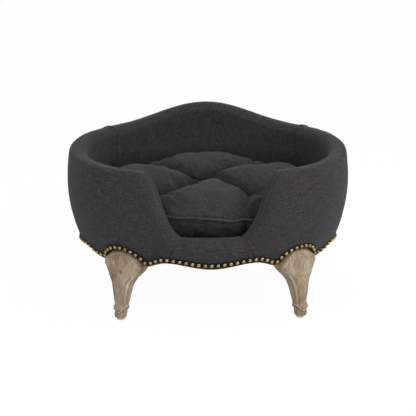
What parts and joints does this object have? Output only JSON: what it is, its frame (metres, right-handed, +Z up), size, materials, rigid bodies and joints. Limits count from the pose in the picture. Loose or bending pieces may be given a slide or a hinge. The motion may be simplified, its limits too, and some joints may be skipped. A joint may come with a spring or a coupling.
{
  "type": "pet bed",
  "caption": "Oval upholstered pet bed on carved oak cabriole legs, domed nail trim, low step-in front and loose tufted cushion.",
  "frame": {"origin": "on the floor, under the middle of the bed", "axes": "+Z up, -Y towards the low front that the animal steps over, +X to the bed's right seen from the front"},
  "size_m": [0.7, 0.5402, 0.45],
  "materials": {
    "charcoal_cloth": "matte",
    "limed_oak": "matte",
    "foam": "matte",
    "plywood": "matte",
    "antique_brass": "satin",
    "zinc_steel": "satin",
    "black_felt": "matte",
    "nylon": "matte",
    "fibre_fill": "matte"
  },
  "bodies": {
    "bed": {"back_pad": "foam", "base_board": "plywood", "cover_back": "charcoal_cloth", "cover_front": "charcoal_cloth", "cover_left": "charcoal_cloth", "cover_right": "charcoal_cloth", "deck_cloth": "charcoal_cloth", "dust_cover": "black_felt", "dust_cover_staples": "zinc_steel", "front_knee_nails": "antique_brass", "front_ledger": "plywood", "front_nails": "antique_brass", "front_post_left": "plywood", "front_post_right": "plywood", "front_rail": "limed_oak", "glide_front_left": "nylon", "glide_front_right": "nylon", "glide_nails": "zinc_steel", "glide_rear_left": "nylon", "glide_rear_right": "nylon", "ledger_screws": "zinc_steel", "left_ledger": "plywood", "left_nails": "antique_brass", "left_rail": "limed_oak", "leg_front_left": "limed_oak", "leg_front_right": "limed_oak", "leg_rear_left": "limed_oak", "leg_rear_right": "limed_oak", "leg_screws": "zinc_steel", "opening_pad_left": "foam", "opening_pad_right": "foam", "rail_dowels": "plywood", "rear_knee_nails": "antique_brass", "rear_ledger": "plywood", "rear_nails": "antique_brass", "rear_post_left": "plywood", "rear_post_right": "plywood", "rear_rail": "limed_oak", "right_ledger": "plywood", "right_nails": "antique_brass", "right_rail": "limed_oak", "side_pad_left": "foam", "side_pad_right": "foam", "sill_pad": "foam", "wall_board_back": "plywood", "wall_board_left": "plywood", "wall_board_right": "plywood"},
    "cushion": {"cushion_base": "charcoal_cloth", "cushion_core": "fibre_fill", "cushion_piping": "charcoal_cloth", "cushion_top": "charcoal_cloth", "tuft_ties": "charcoal_cloth"}
  },
  "joints": [
    {"name": "cushion_lift", "type": "slide", "parent": "bed", "child": "cushion", "axis": [0, 0, 1], "range_m": [0, 0.35]}
  ]
}
